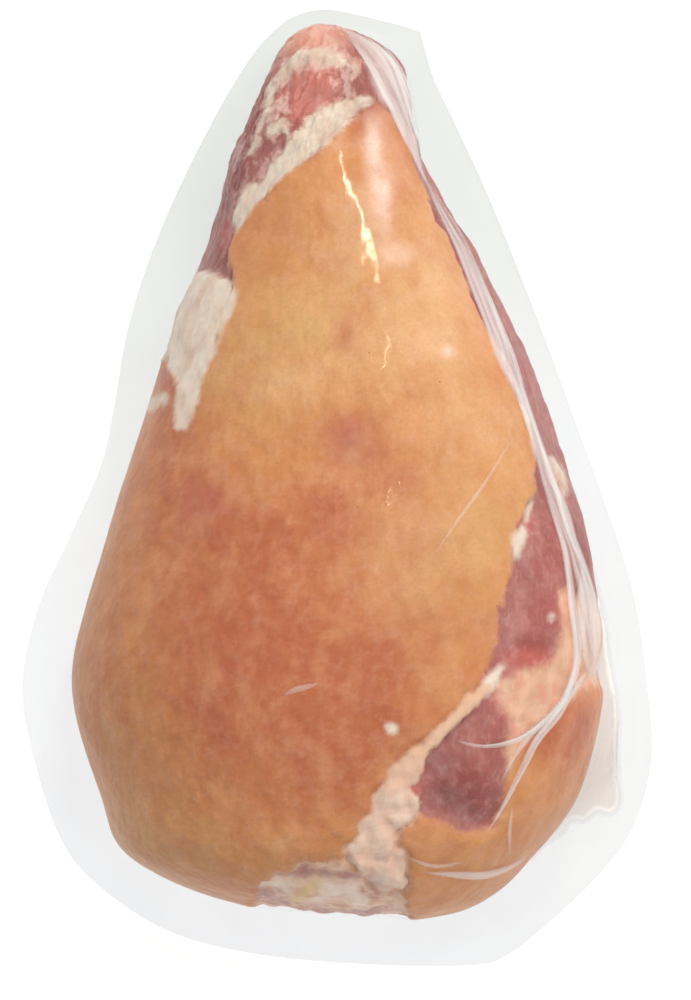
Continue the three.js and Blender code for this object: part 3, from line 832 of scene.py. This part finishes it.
faces = []
for ring in range(ring_count):
    above = (ring + 1) % ring_count
    for i in range(SKIRT_PIECES):
        j = (i + 1) % SKIRT_PIECES
        here, there = ring * SKIRT_PIECES, above * SKIRT_PIECES
        faces.append((here + i, here + j, there + j, there + i))


def skin_of(name, corners, faces):
    """A piece made of corners in millimetres and the faces between them."""
    mesh = bpy.data.meshes.new(name)
    mesh.from_pydata((corners * MM).tolist(), [], faces)
    piece = bpy.data.objects.new(name, mesh)
    bpy.context.collection.objects.link(piece)
    face_outwards(piece)
    return piece


skirt = skin_of("bag_skirt", skirt_corners, faces)
curtain = depth_inside(CURTAIN_OUTLINE, skirt_corners[:, 0], skirt_corners[:, 1])
curtain[: (LOWER_RINGS + 1) * SKIRT_PIECES] = NOT_MILKY
keep_values(skirt, "curtain", curtain)
keep_values(skirt, "towards_meat", np.concatenate(ring_share))


def part_of(place, axis):
    """One coordinate of a place."""
    return Wire.node("ShaderNodeSeparateXYZ", None, {"Vector": place}, output=axis)


doubled, shader = new_material("welded_film")
place = object_place()
streaks = mottle(object_place((1, 0.25, 1), 0.1), 5, 1.5, 0.5).between(0.3, 0.7)
curtain_depth = value_of("curtain") + (mottle(place, 5, 1.0) - 0.5) * 0.9
curtained = curtain_depth.between(-0.6, 0.8)
border = curtained * (1 - curtain_depth.between(0.5, 1.8))
# painted light and shade: the plain film is lighter towards the ham end, away from the lamps, and darker
# towards the shank and the tent, nearer them, to even out the lamps' light
towards_shank = part_of(place, "Y").between(-70, 90)
plain_film = blend(towards_shank, tone(222, 240, 255), tone(178, 194, 182))
towards_tent = part_of(place, "X").between(10, 75)
plain_film = blend(towards_tent * (1 - towards_shank), plain_film, tone(176, 186, 188))
milky_film = blend(streaks, tone(204, 189, 176), tone(227, 217, 206))
milky_film = blend(value_of("towards_meat").between(0.5, 0.95) * 0.7, milky_film, tone(206, 180, 162))
milky_film = blend(border * 0.8, milky_film, tone(252, 250, 246))
fold_shade = curtain_depth.between(-1.3, -0.5) * (1 - curtain_depth.between(-0.4, 0.2))
plain_film = blend(fold_shade, plain_film, tone(186, 190, 190))
feed(shader, "Base Color", blend(curtained, plain_film, milky_film))
feed(shader, "Roughness", 0.3)
plain_alpha = 0.1 + mottle(place, 20, 2.0) * 0.05 + towards_shank * 0.08
upper_tent = part_of(place, "Y").between(-96, -70)
milky_alpha = (curtained * (0.52 + streaks * 0.2) + border * 0.2) * (0.45 + upper_tent * 0.55)
feed(shader, "Alpha", plain_alpha + fold_shade * 0.12 + milky_alpha)
skirt.data.materials.append(doubled)
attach(skirt, "root")
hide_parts("vacuum_pack")

# ---- The gathers ----
# Where the shrunk film has slack it gathers into milky folds: a band of them down the right side from the
# bone end, strands across the slit, and the curtain where the film leaves the meat for the skirt. Each is a
# thin fold with soft edges that hugs the bag's outer face. Two thin pale ones, along the band's right
# border and along the first strand, are painted highlights on the edges of these folds.
GATHERS = {
    # name: (how milky, height, points of (x, y, half width) seen from above)
    "bundle_at_the_tip": (0.5, 0.1, [
        (0, 116, 0.8), (6, 112, 2.8), (11.5, 106, 4.4), (15.2, 98, 4.4), (18, 90, 3), (20.4, 82, 2),
        (22, 76, 1),
    ]),
    "film_beside_the_tip": (0.5, 0.05, [
        (9, 114, 0.6), (13.8, 108.2, 1.8), (17, 101, 2.2), (18.8, 93, 2), (20.6, 85, 1.4),
        (22.8, 78, 0.6),
    ]),
    "tip_line": (0.6, 0.15, [
        (6, 114, 0.4), (12.5, 108.5, 0.8), (17, 101, 0.9), (19.6, 93, 0.7), (21, 86, 0.4),
    ]),
    "tip_fold": (0.45, 0.15, [
        (2, 113.5, 0.4), (8, 106, 0.9), (12, 98, 1), (15.5, 90, 0.8), (18, 84, 0.4),
    ]),
    "band": (0.52, 0.12, [
        (17.6, 91, 0.8), (19.6, 83.5, 2), (22.2, 77, 3), (26.4, 68.2, 4.2), (29.8, 62, 4.4),
        (32.6, 55.8, 4.6), (35.1, 49.5, 4.4), (37.6, 43.2, 4.2), (40, 37, 3.9), (41.8, 32, 3.5),
        (44.8, 25, 2.9), (47.6, 17.8, 2.8), (50, 9.5, 2.6), (51.9, 2.5, 2.4), (55, -4, 2.9),
        (58, -13, 2.6), (60.2, -19.7, 3.6), (61.8, -26, 4.2), (62.8, -32, 3.8), (63.4, -39, 2.6),
        (64, -45, 1),
    ]),
    "milky_sheet": (0.4, 0.05, [
        (60.5, -18, 1.5), (62, -26, 4), (62.6, -34, 4.2), (63, -42, 3.4), (63.6, -49, 1),
    ]),
    # painted highlight: a thin pale line along the band's right border
    "band_edge_highlight": (0.6, 0.2, [
        (21, 84, 0.4), (24.2, 75, 0.7), (29, 67.2, 0.8), (32.2, 61.5, 0.8), (35, 55.2, 0.9),
        (37.3, 49, 0.9), (39.8, 42.8, 1), (42.3, 36.6, 1.1), (44.1, 31.5, 1.1), (48, 17.8, 1.1),
        (53.8, 1.2, 1.1), (57.4, -11.3, 1.2), (61.2, -19.7, 1.1), (64.2, -28, 0.6),
    ]),
    "strand_a": (0.5, 0.25, [
        (49.2, 7.5, 0.4), (52.2, -2.5, 0.8), (56.3, -16, 1), (58, -30, 1.1), (59, -37.6, 1.2),
        (58.9, -43, 1.2), (58, -46.7, 1.2), (55.9, -51.6, 1.2), (52.6, -55.7, 1.1), (48.4, -59, 1.1),
        (45.2, -61.1, 1), (40.2, -62.6, 0.9), (33.6, -62.9, 0.7), (28.6, -61.2, 0.4),
    ]),
    # painted highlight: a thin bright line along the first strand
    "strand_a_highlight": (0.55, 0.3, [
        (55.4, -12, 0.3), (57.6, -26, 0.5), (58.8, -36, 0.55), (58.9, -43, 0.55), (56.2, -51, 0.55),
        (52.8, -55.2, 0.55), (48.6, -58.6, 0.55), (43.6, -61.4, 0.5), (36, -62.8, 0.45),
        (29.2, -61.4, 0.3),
    ]),
    "strand_b": (0.45, 0.2, [
        (62.2, -44.6, 0.6), (60.4, -46.8, 1.2), (56.6, -51.6, 1.3), (54, -55.8, 1.3), (50.9, -59.2, 1.2),
        (48.4, -62.4, 1.1), (46.4, -66.6, 1), (44.6, -70, 0.9), (42.6, -74, 0.8), (40, -79, 0.6),
        (36.9, -84, 0.4),
    ]),
    "strand_b_line": (0.45, 0.3, [
        (61.4, -45.4, 0.4), (57.2, -50.6, 0.6), (51.8, -57.6, 0.6), (48, -62.6, 0.5), (45, -69, 0.4),
    ]),
    "strand_c": (0.3, 0.2, [
        (61, -47, 0.5), (55, -52.5, 0.7), (49.5, -58, 0.7), (44, -64.5, 0.6), (40, -72, 0.3),
    ]),
    "curtain_line": (0.5, 0.4, [(69, -49, 0.5), (70.2, -57, 0.9), (70.3, -67, 0.9), (70.6, -77, 0.6)]),
    "lower_border": (0.4, 0.4, [
        (47, -91.5, 1.2), (42, -94, 1.5), (36, -95.3, 1.4), (29.5, -94.8, 1.1), (21.5, -94, 0.5),
    ]),
    "scratch": (0.2, 0.1, [(43.8, 13.2, 0.35), (36, 1, 0.45), (30.3, -6.8, 0.45), (23.5, -16.5, 0.35)]),
    "squiggle": (0.16, 0.1, [
        (-13, -50.5, 0.5), (-10, -48.8, 0.9), (-6.8, -48.2, 0.8), (-4.2, -47.2, 0.4),
    ]),
    "thin_line": (0.3, 0.2, [(43, -78, 0.4), (42.3, -84, 0.5), (42.6, -91, 0.4)]),
    "thin_line_low": (0.25, 0.2, [(17, -90, 0.4), (24, -92.5, 0.6), (31, -91.5, 0.4)]),
}
ACROSS = np.linspace(-1, 1, 7)
STEP = 0.8  # mm between the rows of a fold
LOOK_DOWN = 200  # mm over the table from which a fold's route is looked for
LOOK_IN = 4  # mm off the fold's own plane from which the bag's face is looked for
DROP = 2  # a step down of more than this many mm takes the route off the meat's side
OVER_BAG, INTO_BAG = 0.12, 0.15  # how far a fold's two faces lie over and under the bag's face
PATTERN_SHIFT = 37  # gives each fold a pattern of its own

bag_trees = [BVHTree.FromObject(piece, bpy.context.evaluated_depsgraph_get()) for piece in (film, skirt)]


def outer_face(start, way):
    """The bag's outermost face met along a way: the distance to it in millimetres, and its direction."""
    found = [tree.ray_cast(Vector(start) * MM, Vector(way)) for tree in bag_trees]
    return min(((hit[3] / MM, hit[1]) for hit in found if hit[0]), key=lambda f: f[0], default=(None, None))


def evened(rows, passes):
    """Rows that are drawn towards their neighbours, with both ends kept."""
    for _ in range(passes):
        rows = np.vstack([rows[:1], (rows[:-2] + 2 * rows[1:-1] + rows[2:]) / 4, rows[-1:]])
    return rows


def gather_route(points):
    """Rows along a smooth route on the bag: places, directions out of it, ways across, half widths."""
    p = np.array(points, dtype=float)
    padded = np.vstack([2 * p[0] - p[1], p, 2 * p[-1] - p[-2]])
    rows = []
    for a, b, c, d in zip(padded, padded[1:], padded[2:], padded[3:]):
        count = max(2, int(np.hypot(*(c - b)[:2]) / STEP))
        s = np.linspace(0, 1, count, endpoint=False)[:, None]
        bend, twist = 2 * a - 5 * b + 4 * c - d, 3 * b - a - 3 * c + d
        rows.append(0.5 * (2 * b + (c - a) * s + bend * s**2 + twist * s**3))
    route = np.vstack(rows + [p[-1:]])
    places, directions = [], []
    for x, y, _ in route:
        distance, facing = outer_face((x, y, LOOK_DOWN), (0, 0, -1))
        place = (x, y, LOOK_DOWN - distance if distance else 0)
        if places and place[2] < places[-1][2] - DROP:  # it would fall off the meat, and stays on its side
            nearest, facing, _, _ = bag_trees[0].find_nearest(Vector((x, y, places[-1][2])) * MM)
            place = tuple(nearest / MM)
        places.append(place)
        directions.append(facing * (1 if facing.z > 0 else -1))
    places = evened(np.array(places), 4)
    directions = evened(np.array(directions), 12)
    directions /= np.linalg.norm(directions, axis=1, keepdims=True)
    along = np.gradient(places, axis=0)
    across = np.cross(along, directions)
    across /= np.linalg.norm(across, axis=1, keepdims=True)
    flat_share = np.maximum(np.hypot(across[:, 0], across[:, 1]), 0.6)
    return places, directions, across, route[:, 2] / flat_share  # on a slope a fold is wider than it looks


corners, corner_faces, milky, along_way, across_way, edge = [], [], [], [], [], []
for milkiness, height, points in GATHERS.values():
    places, directions, across, half_width = gather_route(points)
    count, width = len(places), len(ACROSS)
    ends = np.sin(math.pi * np.linspace(0, 1, count)) ** 0.4
    spread = ACROSS[None, :, None] * (half_width * (0.15 + 0.85 * ends))[:, None, None]
    sheet = places[:, None, :] + across[:, None, :] * spread
    lift = np.zeros((count, width))
    for row in range(count):
        for column in range(width):
            distance, _ = outer_face(sheet[row, column] + directions[row] * LOOK_IN, -directions[row])
            lift[row, column] = LOOK_IN - distance if distance else -1
    lift = np.clip(lift, -2, 3)
    for _ in range(3):  # the fold spans small dips of the bag
        lift[1:-1] = np.maximum(lift[1:-1], (lift[:-2] + lift[2:]) / 2)
    arch = height * (1 - ACROSS**2)[None, :] * ends[:, None]
    first = sum(len(c) for c in corners)
    for above in (lift + OVER_BAG + arch, lift - INTO_BAG):
        corners.append((sheet + directions[:, None, :] * above[:, :, None]).reshape(-1, 3))
    for face_of, turned in ((0, False), (count * width, True)):
        for row in range(count - 1):
            for column in range(width - 1):
                a = first + face_of + row * width + column
                quad = (a, a + 1, a + width + 1, a + width)
                corner_faces.append(quad[::-1] if turned else quad)
    grid = np.arange(count * width).reshape(count, width)
    rim_way = np.concatenate([grid[0], grid[1:, -1], grid[-1, -2::-1], grid[-2:0:-1, 0]]).tolist()
    for a, b in zip(rim_way, rim_way[1:] + rim_way[:1]):
        corner_faces.append((first + b, first + a, first + a + count * width, first + b + count * width))
    distance = np.concatenate([[0], np.cumsum(np.linalg.norm(np.diff(places, axis=0), axis=1))])
    for _ in range(2):
        milky.append(np.repeat(milkiness * ends, width))
        along_way.append(np.repeat(distance, width) + PATTERN_SHIFT * len(milky))
        across_way.append((ACROSS[None, :] * half_width[:, None]).ravel())
        edge.append(np.tile(1 - ACROSS**2, count))
gathers = skin_of("film_gathers", np.vstack(corners), corner_faces)
for name, values in {"milky": milky, "along_mm": along_way, "across_mm": across_way, "edge": edge}.items():
    keep_values(gathers, name, np.concatenate(values))

folded, shader = new_material("folded_film")
fold_place = Wire.node("ShaderNodeCombineXYZ", None, {
    "X": value_of("along_mm") * 0.03, "Y": value_of("across_mm") * 0.32, "Z": 0.0})
streak = mottle(fold_place, 1, 2.0, 0.5).between(0.35, 0.65)
feed(shader, "Base Color", blend(streak, tone(214, 202, 198), tone(234, 228, 225)))
feed(shader, "Roughness", 0.3)
middle = value_of("edge").between(0.4, 0.95) * (1 - streak)  # a fold is clearest along its middle
feed(shader, "Alpha", value_of("milky") * value_of("edge").between(0.0, 0.75) * (1 - middle * 0.5))
gathers.data.materials.append(folded)
gathers.visible_shadow = False  # film this thin and clear hardly casts one
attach(gathers, "root")
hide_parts("vacuum_pack")

# ---- The studio ----
# A pale table that glows a little, as a light table does, a large soft lamp beyond the shank, a weak one at
# the side, and a narrow one that leaves its reflection along the top of the shank.
bpy.ops.mesh.primitive_plane_add(size=4, location=(0, 0, -0.0005))
floor = bpy.context.object
floor.name = "table"
white, shader = new_material("light_table")
feed(shader, "Base Color", (0.14, 0.14, 0.14, 1))
feed(shader, "Roughness", 0.9)
feed(shader, "Emission Color", (1, 1, 1, 1))
feed(shader, "Emission Strength", 0.92)
floor.data.materials.append(white)

world = bpy.data.worlds.new("studio")
bpy.context.scene.world = world
world.use_nodes = True
world.node_tree.nodes["Background"].inputs["Color"].default_value = (1, 1, 1, 1)
world.node_tree.nodes["Background"].inputs["Strength"].default_value = 0.45


def lamp(name, place, target, width, length, power, colour=(1, 1, 1), shines=True):
    light = bpy.data.lights.new(name, "AREA")
    light.shape = "RECTANGLE"
    light.size = width
    light.size_y = length
    light.energy = power
    light.color = colour
    lamp_object = bpy.data.objects.new(name, light)
    bpy.context.collection.objects.link(lamp_object)
    lamp_object.location = place
    lamp_object.rotation_euler = (Vector(target) - Vector(place)).to_track_quat("-Z", "Y").to_euler()
    lamp_object.visible_glossy = shines


lamp("soft_lamp", (0.35, 0.7, 1.2), (0, 0, 0.03), 0.8, 0.8, 11.5, shines=False)
lamp("side_lamp", (0.9, -0.45, 0.7), (0, 0, 0.03), 0.6, 0.6, 2.5, shines=False)
lamp("shank_lamp", (0.26, 0.9, 1.08), (0.005, 0.07, 0.06), 0.022, 0.42, 3.2, colour=(1, 0.92, 0.66))

CAMERA_HEIGHT = 1.6
VIEW_HEIGHT = 0.25  # the photograph's frame, at the height of the knuckle's widest line
WIDEST_LINE = 0.035
SENSOR = 24
camera_data = bpy.data.cameras.new("camera")
camera_data.sensor_fit = "VERTICAL"
camera_data.sensor_height = SENSOR
camera_data.lens = SENSOR * (CAMERA_HEIGHT - WIDEST_LINE) / VIEW_HEIGHT
camera = bpy.data.objects.new("camera", camera_data)
bpy.context.collection.objects.link(camera)
camera.location = (0.0021, -0.003, CAMERA_HEIGHT)
bpy.context.scene.camera = camera
bpy.context.scene.view_settings.view_transform = "Standard"
